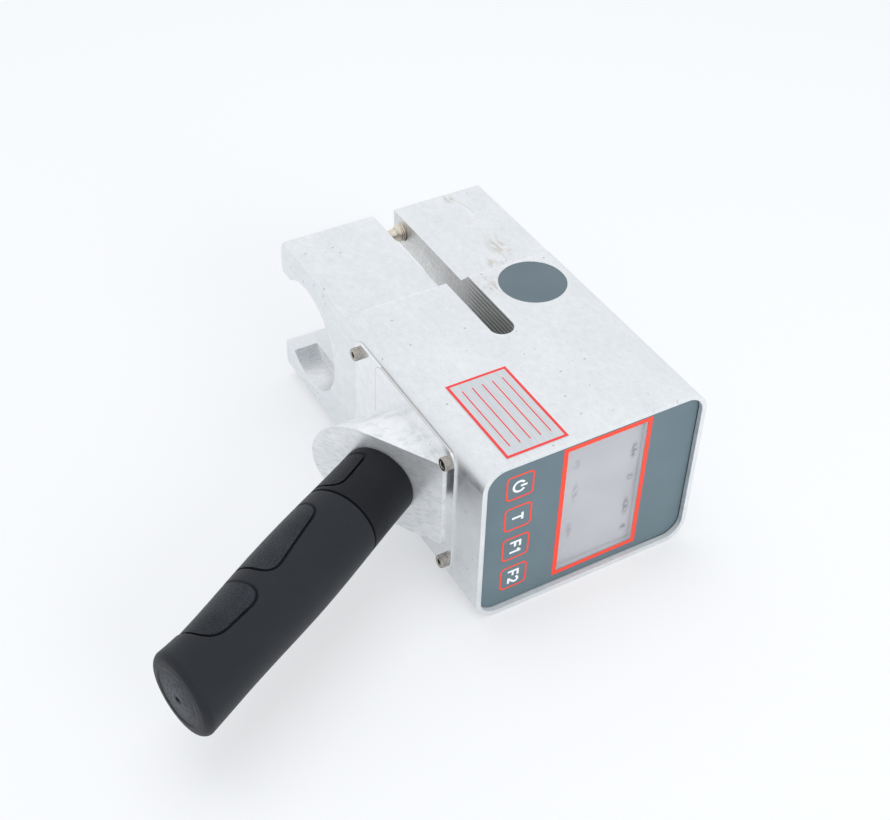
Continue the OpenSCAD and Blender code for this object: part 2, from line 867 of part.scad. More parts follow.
body_block();
gauge_cover();
strain_gauge();
gauge_lead();
label_plate();
front_gasket();
front_plate();
front_plate_screws();
keypad_film();
display_window();
key_power();
key_tare();
key_f1();
key_f2();
key_switches();
lcd_panel();
lcd_frame();
main_board();
board_posts();
board_screws();
battery_holder();
batteries();
plunger_body();
plunger_pin();
plunger_spring();
handle_bracket();
bracket_screws();
handle_tube();
handle_plug();
handle_screw();
grip();
grip_pads();
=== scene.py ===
"""Looks of a hand-held chain tension meter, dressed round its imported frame.

Lengths are in metres in the frame's axes: X to the right across the display, Y from the display to the fork's
tips, Z up. Most solids of the frame keep their shapes and get their finishes here. New pieces are the print on
the film and the label, the legends on the keys, the plunger with its spring, the bracket with its socket screws,
and the grip.
"""

import json
import math

import bmesh
import bpy
import numpy as np
from mathutils import Matrix, Vector


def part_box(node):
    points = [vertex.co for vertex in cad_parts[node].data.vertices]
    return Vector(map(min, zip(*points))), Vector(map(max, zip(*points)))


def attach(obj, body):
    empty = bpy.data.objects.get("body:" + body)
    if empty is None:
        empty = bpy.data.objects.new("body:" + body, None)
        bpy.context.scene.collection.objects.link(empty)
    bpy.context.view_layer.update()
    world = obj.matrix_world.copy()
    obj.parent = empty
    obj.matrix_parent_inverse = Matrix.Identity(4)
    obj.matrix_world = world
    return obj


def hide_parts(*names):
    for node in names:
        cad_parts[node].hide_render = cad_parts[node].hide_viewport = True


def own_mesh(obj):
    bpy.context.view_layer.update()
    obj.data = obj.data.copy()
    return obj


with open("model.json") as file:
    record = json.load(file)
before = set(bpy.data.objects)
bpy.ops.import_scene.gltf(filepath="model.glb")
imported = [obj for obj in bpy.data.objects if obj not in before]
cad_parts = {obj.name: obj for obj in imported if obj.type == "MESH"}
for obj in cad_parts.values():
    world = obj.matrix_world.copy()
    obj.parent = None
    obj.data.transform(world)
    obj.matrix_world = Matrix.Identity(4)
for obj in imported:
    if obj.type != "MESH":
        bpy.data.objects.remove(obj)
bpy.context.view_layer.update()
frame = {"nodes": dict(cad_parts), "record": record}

MM = 0.001

# Span that holds most values of a noise, and how far one finish runs into the next
noise_span = (0.3, 0.7)
fade = 0.1 * MM

# Spans of helpers: where a spot falls off, which cells have a dot and how soft it is, and what counts as an edge
spot_span = (1.0, 0.2)
dot_span = (0.58, 0.62)
dot_soft = 1.5
edge_span = (0.985, 0.90)
edge_samples = 6

# Print on the film and the label, and the film's rise over each key
ink_t = 0.03 * MM
ink_lift = 0.004 * MM
display_border = 2 * MM
key_line = 0.75 * MM
key_line_side = 11.4 * MM
key_line_r = 1.7 * MM
corner_steps = 8
key_dome = Vector((5.2, 3, 5.2)) * MM
legend_stroke = 0.98 * MM
legend_h = 5.0 * MM
label_line = 1.15 * MM
label_rule = 0.5 * MM
label_rules = 5
label_margin = 4.5 * label_line

# Plunger: thread, lip and bore of its sleeve; nose, collar and tail of its pin; its spring
thread_pitch = 1.0 * MM
thread_depth = 0.6 * MM
thread_steps = 18
turned_sides = 144
lip_r = 2.75 * MM
lip_l = 1.2 * MM
lip_wall = 0.1 * MM
bore_r = 3.05 * MM
sleeve_end = 2 * MM
sleeve_nose = 1.5 * MM
nose_power = 1.4
pin_nose_l = 4.1 * MM
pin_nose_r = 2.7 * MM
pin_nose_steps = 24
pin_tip = 0.0005  # Share of the nose at its first ring
pin_sharp = math.radians(50)
pin_collar = (5.75 * MM, 8.75 * MM)
pin_collar_r = 3 * MM
pin_tail_r = 2 * MM
spring_wire_r = 0.3 * MM
spring_turns = 8
turn_steps = 48
wire_sides = 12

# Socket heads of the bracket's screws
shank_r = 1.475 * MM
head_r = 2.75 * MM
head_h = 3 * MM
head_chamfer = 0.3 * MM
knurl_depth = 0.13 * MM
knurls = 32
socket_flats = 2.5 * MM
socket_depth = 1.6 * MM
socket_chamfer = 0.2 * MM

# Body: its round edges and front rim, the cutter's steps on the slot's walls, the link seats, and marks on the top
body_side = 50 * MM
body_h = 79 * MM
edge_r = 10 * MM
rim_back = -29 * MM
rim_front = -32.4 * MM
rim_mid_z = 39.5 * MM
rim_corner_x = 40 * MM
rim_corner_z = 29.5 * MM
rim_wall_r = 9 * MM
rim_floor_z = 3 * MM
film_seam = -30 * MM
seam_w = 0.25 * MM
seam_x = (20 * MM, 44 * MM)
cutter_step = 2.1 * MM
cutter_marks_y = (75.5 * MM, 63.5 * MM)
slot_half = 5.25 * MM
slot_end_y = 32.5 * MM
step_y = 72.5 * MM
# Width of the painted highlight along the step's top edge
step_highlight_w = (1.0 * MM, 0.4 * MM)
fork_z = 73 * MM
seat_y = 113.2 * MM
seat_z = 39.5 * MM
seat_r = 25.4 * MM
seat_x = 38.4 * MM
scratch_at = Vector((5.6, 119, 0)) * MM
scratch_r = 30.2 * MM
scratch_w = (0.40 * MM, 0.12 * MM)
scratch_x = (27 * MM, 31 * MM)
scratch_y = (112 * MM, 126 * MM)
scuffs = [
    (Vector((31, 134, 74)) * MM, Vector((4, 6, 4)) * MM),
    (Vector((32, 92, 74)) * MM, Vector((7, 13, 4)) * MM),
    (Vector((24, 81, 74)) * MM, Vector((6, 8, 4)) * MM),
    (Vector((11, 63, 79)) * MM, Vector((7, 10, 4)) * MM),
]

# Bracket: the back edge, middle and half height of the pad under its boss, its flange, and limits for its mesh
pad_back = 48.7 * MM
pad_mid_z = 40.8 * MM
pad_half = 31.25 * MM
pad_corner = 5 * MM
pad_line_w = (0.30 * MM, 0.12 * MM)
flange_let_in = 0.7
flange_front = -50.9 * MM
bracket_sharp = math.radians(25)
weld = 0.001 * MM
on_face = 0.01 * MM

# Painted shade at the plunger's root: along X, and from its top and bottom
root_shade_x = (3.05 * MM, 4.95 * MM)
root_shade_top = 2.5 * MM
root_shade_bottom = 2 * MM

# Faint marks left on the display, with their reach: two rows along its height
display_marks = [(Vector((x, -27.4, z)) * MM, Vector((2.2, 3, half)) * MM, share) for x, z, half, share in (
    (21.4, 56, 6, 1.0), (21.2, 42, 2.4, 1.0), (21.1, 26, 7, 1.0), (21.4, 13.8, 2.6, 1.0),
    (-5.4, 60, 4, 0.45), (-4.8, 45, 8, 0.45), (-5.8, 25, 6, 0.45))]

# Grip, in the handle's own frame: along it from the boss, towards the back, and down
handle_at = np.array([-65.614, 17, 42.3]) * MM
handle_tilt = math.radians(30)
neck_r = 15.5 * MM
neck_round = 0.9 * MM
neck_steps = 6
belly_at, belly_r = 57 * MM, 16.5 * MM
waist_at, waist_r = 105.4 * MM, 15.4 * MM
tilt_from = 92 * MM
flare_from = 99 * MM
flare_out = 1.0 * MM
end_at = np.array([123, 1.6]) * MM
end_tilt = math.radians(17)
end_round = 3 * MM
end_steps = 9
face_steps = 4
disc_steps = 12
end_bulge = 1 * MM
end_step_r = 11.2 * MM
end_step = 0.35 * MM
vent_r = 1.3 * MM
vent_shift = -1.2 * MM
vent_depth = 5 * MM
vent_lip = 0.2 * MM
# Reach of the grip end's paler face, worn and painted lighter
worn_and_lit_reach = 14 * MM
bore_end = 111 * MM
tube_bore_r = 11.03 * MM
ring_at = 28.2 * MM
ring_half = 0.35 * MM
ring_lip = 0.25 * MM
ring_depth = 1.3 * MM
ring_rows = 21
pad_depth = 1.2 * MM
groove_w = 0.7 * MM
lip_round = 0.4 * MM
grip_step = 0.36 * MM
# The grip's finely divided side reaches this many degrees both ways; the rest has coarser steps
fine_reach = 122
coarse_step = 4
pad_corner_steps = 9
# Each pad: its start and end along the grip, where its edge lies towards the back at both, and its two corners
pads = np.array([[5, 25, 3.4, 2.2, 1.5, 6], [37.5, 73.5, 2.4, -2.2, 7, 7], [81.5, 107, -4.2, -2, 7, 7]]) * MM

# Camera, as solved from the body's straight edges
camera_at = Vector((-252.33, -340.77, 434.47)) * MM
camera_forward = Vector((0.38644, 0.64267, -0.66154))
camera_roll = math.radians(1.92)
focal_px = 1451.1
image_px = 890
sensor = 36.0
camera_near = 0.01

# Tones of the finishes, as linear colours: a pair goes from a noise's dark to its light
body_tones = (0.755, 0.778, 0.794), (0.905, 0.922, 0.933)
fleck_tone = (0.60, 0.61, 0.63)
pit_tone = (0.44, 0.45, 0.47)
scuff_tone = (0.63, 0.595, 0.54)
scratch_tone = (0.62, 0.58, 0.52)
# Slot walls: their milled tone, darkened further by painted shade
wall_and_shade_tones = (0.68, 0.68, 0.675), (0.88, 0.875, 0.87)
# The cutter's steps: painted highlight and shade as light and dark lines
step_highlight_and_shade_tones = (0.48, 0.485, 0.48), (1.0, 1.0, 0.99)
seat_tones = (0.77, 0.78, 0.79), (0.87, 0.875, 0.88)
# Painted highlight along broken edges
edge_highlight_tone = (0.97, 0.975, 0.98)
# Painted highlight along the step's top edge
step_highlight_tone = (0.985, 0.988, 0.99)
seam_tone = (0.09, 0.078, 0.066)
bracket_tones = (0.840, 0.853, 0.864), (0.950, 0.957, 0.962)
bracket_pit_tone = (0.50, 0.51, 0.52)
pad_line_tone = (0.60, 0.585, 0.57)
# Boss mottles: a blotchy finish with a painted reflection of the dark grip
mottle_and_reflection_tone = (0.56, 0.61, 0.65)
steel_tones = (0.36, 0.335, 0.305), (0.50, 0.47, 0.43)
foil_tones = (0.60, 0.40, 0.18), (0.75, 0.52, 0.26)
plate_tones = (0.80, 0.81, 0.82), (0.86, 0.87, 0.88)
brass_tones = (0.72, 0.65, 0.53), (0.88, 0.82, 0.71)
# Painted shade in the thread's valleys and at the plunger's root
valley_shade_tone = (0.20, 0.155, 0.10)
root_shade_tone = (0.13, 0.10, 0.065)
film_tones = (0.112, 0.166, 0.194), (0.136, 0.196, 0.226)
cover_tones = (0.106, 0.148, 0.172), (0.128, 0.174, 0.200)
orange_tones = (0.96, 0.052, 0.018), (1.0, 0.066, 0.026)
white_tones = (0.90, 0.91, 0.92), (0.96, 0.965, 0.97)
red_tones = (0.78, 0.042, 0.040), (0.88, 0.056, 0.052)
window_tone = (0.72, 0.725, 0.755, 1)
display_tones = (0.50, 0.50, 0.53), (0.60, 0.60, 0.63)
mark_tone = (0.06, 0.06, 0.09)
label_tones = (0.56, 0.59, 0.62), (0.64, 0.67, 0.69)
rubber_tones = (0.0165, 0.0185, 0.0225), (0.0225, 0.0250, 0.0300)
pad_tones = (0.006, 0.0075, 0.0095), (0.038, 0.042, 0.051)
# Paler end face of the grip: wear and painted light
worn_and_lit_rubber_tone = (0.080, 0.088, 0.102)
# Painted shade on the grip's neck
neck_shade_tone = (0.003, 0.003, 0.004)
plastic_tones = (0.012, 0.012, 0.013), (0.022, 0.022, 0.024)
board_tones = (0.010, 0.075, 0.028), (0.016, 0.11, 0.042)

# Floor and surroundings: their tones and strengths, and the floor's plain white in straight views and in mirrors
floor_half = 3.0
floor_drop = 0.2 * MM
floor_white = (0.42, 0.20)
paper_tone = (0.89, 0.90, 0.915, 1)
glow_tone = (0.985, 0.99, 1.0, 1)
soft_tone, soft_strength = (0.945, 0.975, 1.0, 1), 0.80
shown_tone, shown_strength = (0.96, 0.975, 1.0, 1), 0.97

# Lights: place, size in metres and power in watts, all turned to one target
light_target = (0, 0.03, 0.03)
lights = {
    "top_light": ((-0.10, 0.15, 1.30), 1.0, 4.5),
    "front_light": ((0.20, -1.2, 0.60), 0.8, 5.2),
}


# Meshes

def add_piece(name, points, faces, finish, body, slot, smooth=False):
    """Makes a mesh piece of points and faces, gives it its finish and lets it ride on a body."""
    mesh = bpy.data.meshes.new(name)
    mesh.from_pydata(points.tolist(), [], faces)
    mesh.polygons.foreach_set("use_smooth", np.full(len(mesh.polygons), smooth))
    mesh.materials.append(finish)
    mesh.validate()
    piece = bpy.data.objects.new(name, mesh)
    bpy.context.scene.collection.objects.link(piece)
    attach(piece, body)
    return piece


def band_faces(rows, columns, closed_rows):
    """Quads of a grid whose columns close on themselves, and whose rows do too if closed_rows."""
    row = np.arange(rows if closed_rows else rows - 1)[:, None]
    column = np.arange(columns)[None, :]
    after, beside = (row + 1) % rows, (column + 1) % columns
    quads = np.stack([row * columns + column, row * columns + beside,
                      after * columns + beside, after * columns + column], axis=-1)
    return quads.reshape(-1, 4).tolist()


def ribbon(path, width, closed, lift=0.0):
    """A flat stroke along a path in the plane, as points (across, up, out) and faces.

    At each point the stroke reaches half its width to both sides along the mitre, the mean of the normals of
    the two stretches that meet there divided by one plus their product. Its section is a rectangle ink_t thick
    plus a lift, which keeps the tops of crossing strokes apart.
    """
    path = np.asarray(path, float)
    ahead = np.roll(path, -1, axis=0) - path
    if not closed:
        ahead[-1] = ahead[-2]
    ahead /= np.linalg.norm(ahead, axis=1, keepdims=True)
    normal = np.stack([-ahead[:, 1], ahead[:, 0]], axis=1)
    before = np.roll(normal, 1, axis=0)
    if not closed:
        before[0] = normal[0]
    mitre = (normal + before) / (1 + np.sum(normal * before, axis=1, keepdims=True))
    side = np.array([-0.5, 0.5, 0.5, -0.5]) * width
    out = np.array([0, 0, 1, 1]) * (ink_t + lift)
    flat = path[:, None, :] + side[None, :, None] * mitre[:, None, :]
    points = np.concatenate([flat, np.broadcast_to(out[None, :, None], (len(path), 4, 1))], axis=-1)
    faces = band_faces(len(path), 4, closed)
    if not closed:
        last = 4 * (len(path) - 1)
        faces += [[3, 2, 1, 0], [last, last + 1, last + 2, last + 3]]
    return points.reshape(-1, 3), faces


def joined(strokes):
    """Several strokes as one list of points and one of faces."""
    starts = np.cumsum([0] + [len(points) for points, _ in strokes])
    faces = [[i + start for i in face] for start, (_, made) in zip(starts, strokes) for face in made]
    return np.concatenate([points for points, _ in strokes]), faces


def laid(points, origin, across, up, out):
    """Carries points (across, up, out) to the frame: each coordinate goes along its own direction."""
    return np.asarray(origin) + points @ np.array([across, up, out], float)


def arc(centre, radius, start, end, steps):
    """Points of a circle's stretch from one angle to another, in degrees."""
    angle = np.radians(np.linspace(start, end, steps))
    return np.asarray(centre) + radius * np.stack([np.cos(angle), np.sin(angle)], axis=1)


def round_square(width, height, radius):
    """A rectangle's outline about its middle, with a quarter circle at each corner."""
    corners = [(1, 1, 0), (-1, 1, 90), (-1, -1, 180), (1, -1, 270)]
    return np.concatenate([
        arc(((width / 2 - radius) * x, (height / 2 - radius) * y), radius, start, start + 90, corner_steps)
        for x, y, start in corners])


def rectangle(width, height):
    """A rectangle's four corners about its middle."""
    return np.array([[1, 1], [-1, 1], [-1, -1], [1, -1]]) * [width / 2, height / 2]


# Finishes

class Finish:
    """A material in the making, on the piece's own coordinates."""

    def __init__(self, name):
        self.material = bpy.data.materials.new(name)
        self.material.use_nodes = True
        self.tree = self.material.node_tree
        self.shader = self.tree.nodes["Principled BSDF"]
        self.place = self.node("ShaderNodeTexCoord").outputs["Object"]

    def node(self, kind, wires=None, **settings):
        """Makes a node with its settings, and wires its sockets."""
        made = self.tree.nodes.new(kind)
        for key, value in settings.items():
            setattr(made, key, value)
        for socket, value in (wires or {}).items():
            self.wire(made.inputs[socket], value)
        return made

    def wire(self, socket, value):
        """Leads another socket to a socket, or sets its value."""
        if isinstance(value, bpy.types.NodeSocket):
            self.tree.links.new(value, socket)
        else:
            socket.default_value = value

    def shade(self, **values):
        """Sets the shader's sockets by name, such as base_color or roughness."""
        for key, value in values.items():
            self.wire(self.shader.inputs[key.replace("_", " ").title().replace("Ior", "IOR")], value)
        return self.material

    def cloud(self, size, detail, stretch=(1, 1, 1), turn=0.0):
        """Noise whose patches are about one size across, drawn out along the axes by stretch after a turn round Z."""
        spread = self.node("ShaderNodeMapping", {"Vector": self.place, "Rotation": (0, 0, turn),
                                                 "Scale": tuple(1 / (size * s) for s in stretch)})
        return self.node("ShaderNodeTexNoise", {"Vector": spread.outputs["Vector"], "Scale": 1.0,
                                                "Detail": detail}).outputs["Fac"]

    def tones(self, share, pair, low=noise_span[0], high=noise_span[1]):
        """A colour that goes from the pair's first to its second as the share goes from low to high."""
        made = self.node("ShaderNodeValToRGB", {"Fac": share})
        for element, position, colour in zip(made.color_ramp.elements, (low, high), pair):
            element.position = position
            element.color = (*colour, 1)
        return made.outputs["Color"]

    def level(self, share, low, high, start=0.0, end=1.0):
        """A number that goes from start to end, smoothly, as the share goes from low to high."""
        return self.node("ShaderNodeMapRange", {"Value": share, "From Min": low, "From Max": high, "To Min": start,
                                                "To Max": end}, interpolation_type="SMOOTHSTEP").outputs["Result"]

    def between(self, noise, start, end):
        """A number that goes from start to end as a noise goes through its span."""
        return self.level(noise, *noise_span, start, end)

    def mix(self, share, first, second):
        """The first colour where the share is 0, and the second where it is 1."""
        made = self.node("ShaderNodeMix", data_type="RGBA")
        for index, value in ((0, share), (6, first), (7, second)):
            self.wire(made.inputs[index], (*value, 1) if isinstance(value, tuple) else value)
        return made.outputs[2]

    def reckon(self, operation, first, second=0.0):
        """The result of an operation on two numbers."""
        return self.node("ShaderNodeMath", {0: first, 1: second}, operation=operation).outputs[0]

    def product(self, first, *others):
        """Several shares times one another."""
        for share in others:
            first = self.reckon("MULTIPLY", first, share)
        return first

    def apart(self, first, second):
        """How far two numbers lie apart."""
        return self.reckon("ABSOLUTE", self.reckon("SUBTRACT", first, second))

    def blend(self, *shares):
        """The sum of several shares, each with its weight."""
        total = 0.0
        for weight, share in shares:
            made = self.node("ShaderNodeMath", {0: share, 1: weight, 2: total}, operation="MULTIPLY_ADD")
            total = made.outputs[0]
        return total

    def axes(self):
        """The piece's X, Y and Z, one number each."""
        return self.node("ShaderNodeSeparateXYZ", {"Vector": self.place}).outputs

    def bumps(self, height, depth, normal=None):
        """A normal that follows a height of 0 to 1, where 1 stands depth high."""
        made = self.node("ShaderNodeBump", {"Height": height, "Strength": 1.0, "Distance": depth})
        if normal is not None:
            self.wire(made.inputs["Normal"], normal)
        return made.outputs["Normal"]

    def vector(self, operation, first, second=(0, 0, 0), output="Vector"):
        """The result of an operation on two vectors; the output is Value where it is a number."""
        return self.node("ShaderNodeVectorMath", {0: first, 1: second}, operation=operation).outputs[output]

    def away(self, centre, axes):
        """How far a place lies from a centre, measured only along the axes that are 1."""
        offset = self.vector("MULTIPLY", self.vector("SUBTRACT", self.place, centre), axes)
        return self.vector("LENGTH", offset, output="Value")

    def dots(self, apart, radius):
        """Scattered round dots about so far apart, their radius a share of that; four places in ten have one."""
        cells = self.node("ShaderNodeTexVoronoi", {"Vector": self.place, "Scale": 1 / apart})
        chosen = self.node("ShaderNodeSeparateColor", {"Color": cells.outputs["Color"]}).outputs["Red"]
        round_share = self.level(cells.outputs["Distance"], dot_soft * radius, radius)
        return self.product(round_share, self.level(chosen, *dot_span))

    def spot(self, centre, reach):
        """1 at a centre, falling to 0 at its reach along each axis."""
        share = self.vector("DIVIDE", self.vector("SUBTRACT", self.place, centre), reach)
        return self.level(self.vector("LENGTH", share, output="Value"), *spot_span)

    def ring(self, centre, radius):
        """How far a place lies from a circle about a centre, seen along Z."""
        return self.apart(self.away(centre, (1, 1, 0)), radius)

    def past_corner(self, *offsets):
        """How far a place lies past a corner's centre: the length of its offsets from it, each at least 0."""
        total = 0.0
        for offset in offsets:
            past = self.reckon("MAXIMUM", offset)
            made = self.node("ShaderNodeMath", {0: past, 1: past, 2: total}, operation="MULTIPLY_ADD")
            total = made.outputs[0]
        return self.reckon("SQRT", total)

    def steepness(self):
        """0 on level faces and 1 on upright ones."""
        normal = self.node("ShaderNodeNewGeometry").outputs["True Normal"]
        level_share = self.node("ShaderNodeSeparateXYZ", {"Vector": normal}).outputs["Z"]
        return self.reckon("SUBTRACT", 1.0, self.reckon("ABSOLUTE", level_share))

    def broken_edge(self, radius):
        """The normal of edges broken by a radius, and how much a place lies on such an edge."""
        rounded = self.node("ShaderNodeBevel", {"Radius": radius}, samples=edge_samples).outputs["Normal"]
        flat = self.node("ShaderNodeNewGeometry").outputs["Normal"]
        match = self.vector("DOT_PRODUCT", rounded, flat, "Value")
        return rounded, self.level(match, *edge_span)


def blasted_aluminium():
    """Milled and blasted body: grey-white with a fine grain, small dark flecks and pits, a scratch and scuffs.

    The walls of the slot are darker, partly by their milled finish and partly by painted shade, and carry the steps
    of the cutter as bumps and as lines one pitch apart, painted light and dark as highlight and shade. The link seats
    are smoother, and the walls round the panel rougher than the rest, with a dark seam along the film. Broken edges
    carry a painted highlight, and the step's top edge a wider one, patchy like wear.
    """
    f = Finish("blasted_aluminium")
    x, y, z = f.axes()
    from_middle = f.reckon("ABSOLUTE", x)
    grain = f.cloud(0.55 * MM, 2)
    patches = f.cloud(2.2 * MM, 4, stretch=(1, 1.8, 1), turn=0.5)
    clouds = f.cloud(14 * MM, 4, stretch=(1, 2, 1), turn=0.9)
    tone = f.tones(f.blend((0.34, grain), (0.36, patches), (0.30, clouds)), body_tones, 0.34, 0.66)
    flecks = f.cloud(0.9 * MM, 3, stretch=(1, 2.5, 1), turn=0.4)
    tone = f.mix(f.level(flecks, 0.64, 0.76, 0.0, 0.45), tone, fleck_tone)
    tone = f.mix(f.product(f.dots(6 * MM, 0.07), 0.6), tone, pit_tone)
    smears = f.level(f.cloud(1.4 * MM, 6, stretch=(1, 2.6, 1), turn=-0.7), 0.42, 0.64, 0.0, 0.8)
    for centre, reach in scuffs:
        tone = f.mix(f.product(f.spot(centre, reach), smears), tone, scuff_tone)
    scratch = f.product(f.level(f.ring(scratch_at, scratch_r), *scratch_w), f.level(x, *scratch_x),
                        f.level(y, *scratch_y), f.level(z, fork_z - MM, fork_z))
    tone = f.mix(f.product(scratch, f.level(patches, 0.35, 0.6, 0.2, 0.75)), tone, scratch_tone)

    # Slot walls: darker, partly their milled finish and partly painted shade in the slot
    wall = f.product(f.level(from_middle, slot_half + 2 * fade, slot_half + fade), f.level(f.steepness(), 0.4, 0.6),
                     f.level(y, slot_end_y - 3 * fade, slot_end_y - fade))
    # The cutter's steps: bumps, and light and dark lines that are painted highlight and shade
    steps = f.level(f.reckon("PINGPONG", z, cutter_step / 2), 0.31 * cutter_step, 0.40 * cutter_step)
    stepped = f.product(wall, f.level(y, *cutter_marks_y))
    streaks = f.cloud(0.9 * MM, 5, stretch=(1, 1, 2.2))
    tone = f.mix(wall, tone, f.tones(streaks, wall_and_shade_tones, 0.32, 0.68))
    tone = f.mix(stepped, tone, f.tones(steps, step_highlight_and_shade_tones, 0.0, 1.0))

    seat = f.product(f.level(f.away((0, seat_y, seat_z), (0, 1, 1)), seat_r + fade, seat_r),
                     f.level(from_middle, seat_x, seat_x + fade / 2))
    tone = f.mix(seat, tone, f.tones(f.cloud(0.5 * MM, 4, stretch=(10, 1, 1)), seat_tones))

    rim = f.past_corner(f.reckon("SUBTRACT", from_middle, rim_corner_x),
                        f.reckon("SUBTRACT", f.apart(z, rim_mid_z), rim_corner_z))
    rim = f.product(f.level(rim, rim_wall_r, rim_wall_r - fade), f.level(y, rim_back, rim_back - fade),
                    f.level(y, rim_front - fade / 2, rim_front))
    rounded, edge = f.broken_edge(0.35 * MM)
    # Painted highlight along the broken edges
    tone = f.mix(f.product(edge, 0.9), tone, edge_highlight_tone)
    # Painted highlight along the top edge of the step, patchy like wear
    wear_and_highlight = f.product(f.level(f.apart(y, step_y), *step_highlight_w), f.level(z, body_h - 6 * fade, body_h - fade),
                     f.level(patches, 0.35, 0.65, 0.15, 0.6))
    tone = f.mix(wear_and_highlight, tone, step_highlight_tone)
    seam = f.product(rim, f.level(y, film_seam - 2 * seam_w, film_seam - seam_w), f.level(x, *seam_x, 0.45, 0.95))
    tone = f.mix(seam, tone, seam_tone)
    rim_floor = f.product(rim, f.level(z, edge_r, rim_floor_z))
    metal = f.reckon("SUBTRACT", 0.85, f.product(rim_floor, 0.5))
    rough = f.blend((1.0, f.between(patches, 0.40, 0.50)), (0.10, rim), (-0.15, seat))
    height = f.blend((0.12, grain), (0.5, f.product(stepped, steps)))
    return f.shade(base_color=tone, metallic=metal, roughness=rough, normal=f.bumps(height, 0.10 * MM, rounded))


def brushed_aluminium():
    """Bracket: a smooth flange with fine level streaks, and a mottled boss on a thin pad. The boss's mottles are
    partly a painted reflection of the dark grip, and its edges carry a painted highlight.

    The pad's outline is a rounded rectangle: the distance past its corner's centre, less the corner's radius, is 0.
    """
    f = Finish("brushed_aluminium")
    x, y, z = f.axes()
    streaks = f.cloud(0.28 * MM, 3, stretch=(40, 40, 1))
    tone = f.tones(f.blend((0.65, f.cloud(4 * MM, 5)), (0.35, streaks)), bracket_tones, 0.32, 0.68)
    tone = f.mix(f.product(f.dots(4 * MM, 0.06), 0.35), tone, bracket_pit_tone)
    past = f.past_corner(f.reckon("SUBTRACT", y, pad_back - pad_corner),
                         f.reckon("SUBTRACT", f.apart(z, pad_mid_z), pad_half - pad_corner))
    tone = f.mix(f.level(f.apart(past, pad_corner), *pad_line_w, 0.0, 0.7), tone, pad_line_tone)
    rounded, edge = f.broken_edge(0.12 * MM)
    boss = f.level(x, flange_front, flange_front - 3 * fade)
    # Painted highlight along the boss's broken edges
    tone = f.mix(f.product(edge, boss), tone, edge_highlight_tone)
    mottles = f.cloud(0.9 * MM, 3, stretch=(4, 4, 1))
    # Blotchy mottles on the boss, partly its own finish and partly a painted reflection of the dark grip
    tone = f.mix(f.product(boss, f.level(mottles, 0.46, 0.70, 0.0, 0.45)), tone, mottle_and_reflection_tone)
    metal = f.reckon("SUBTRACT", 0.92, f.product(boss, 0.36))
    rough = f.blend((1.0, f.between(f.cloud(6 * MM, 1), 0.20, 0.27)), (0.08, boss))
    height = f.blend((0.3, streaks), (0.6, f.product(boss, mottles)))
    return f.shade(base_color=tone, metallic=metal, roughness=rough, normal=f.bumps(height, 0.030 * MM, rounded))


def turned_metal(name, tones, roughness):
    """Small turned pieces: a mottled tone with a painted highlight on the edges, and slightly uneven gloss."""
    f = Finish(name)
    clouds = f.cloud(1.2 * MM, 3)
    rounded, edge = f.broken_edge(0.15 * MM)
    # Painted highlight along the broken edges: the lighter tone raised by a share
    turned_edge_highlight = tuple(min(1, 1.15 * c) for c in tones[1])
    return f.shade(base_color=f.mix(edge, f.tones(clouds, tones), turned_edge_highlight), metallic=1.0, normal=rounded,
                   roughness=f.between(clouds, roughness - 0.05, roughness + 0.08))


def plunger_brass():
    """Plunger: turned brass, mottled, with painted shade in the valleys of its sleeve's thread and under its root,
    growing towards the wall and the bottom.

    A valley is where the distance from the plunger's axis falls below the crest.
    """
    f = Finish("plunger_brass")
    x, _, z = f.axes()
    low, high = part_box("plunger_body")
    crest = (high.z - low.z) / 2
    thread_x = low.x + sleeve_nose
    from_axis = f.away((low + high) / 2, (0, 1, 1))
    # Painted shade in the thread's valleys
    valley = f.level(from_axis, crest - 0.2 * thread_depth, crest - 0.75 * thread_depth, 0.0, 0.60)
    valley = f.product(valley, f.level(x, thread_x - 3 * fade, thread_x + fade))
    # Painted shade at the root, towards the wall and the bottom
    root = f.product(f.level(x, *root_shade_x, 0.0, 0.75), f.level(z, high.z - root_shade_top, low.z + root_shade_bottom))
    clouds = f.cloud(1.2 * MM, 3)
    tone = f.mix(root, f.mix(valley, f.tones(clouds, brass_tones), valley_shade_tone), root_shade_tone)
    return f.shade(base_color=tone, metallic=0.9, roughness=f.between(clouds, 0.32, 0.42))


def printed_film(name, tones, domes=()):
    """Matte film of the panel and of the round cover: blue-grey with a very fine grain, raised over the keys."""
    f = Finish(name)
    grain = f.cloud(0.25 * MM, 2)
    tone = f.tones(f.blend((0.4, grain), (0.6, f.cloud(14 * MM, 2))), tones)
    raised = [(1.0, f.spot(centre, key_dome)) for centre in domes]
    return f.shade(base_color=tone, roughness=f.between(grain, 0.40, 0.52),
                   normal=f.bumps(f.blend((0.02, grain), *raised), 0.35 * MM))


def ink(name, tones):
    """Screen-printed ink, slightly uneven."""
    f = Finish(name)
    clouds = f.cloud(1.5 * MM, 3)
    return f.shade(base_color=f.tones(clouds, tones), roughness=f.between(clouds, 0.42, 0.55))


def window_plastic():
    """Window with an even grey haze."""
    f = Finish("window_plastic")
    haze = f.cloud(30 * MM, 1)
    return f.shade(base_color=window_tone, roughness=f.between(haze, 0.28, 0.34), alpha=f.between(haze, 0.19, 0.23))


def display_glass():
    """Unlit display: pale grey-lilac with two rows of faint dark marks."""
    f = Finish("display_glass")
    haze = f.cloud(25 * MM, 2)
    tone = f.tones(haze, display_tones, 0.30, 0.65)
    strokes = f.cloud(1.4 * MM, 3)
    for centre, reach, share in display_marks:
        drawn = f.level(strokes, 0.36, 0.52, 0.0, share)
        tone = f.mix(f.product(f.spot(centre, reach), drawn), tone, mark_tone)
    return f.shade(base_color=tone, roughness=f.between(haze, 0.40, 0.5))


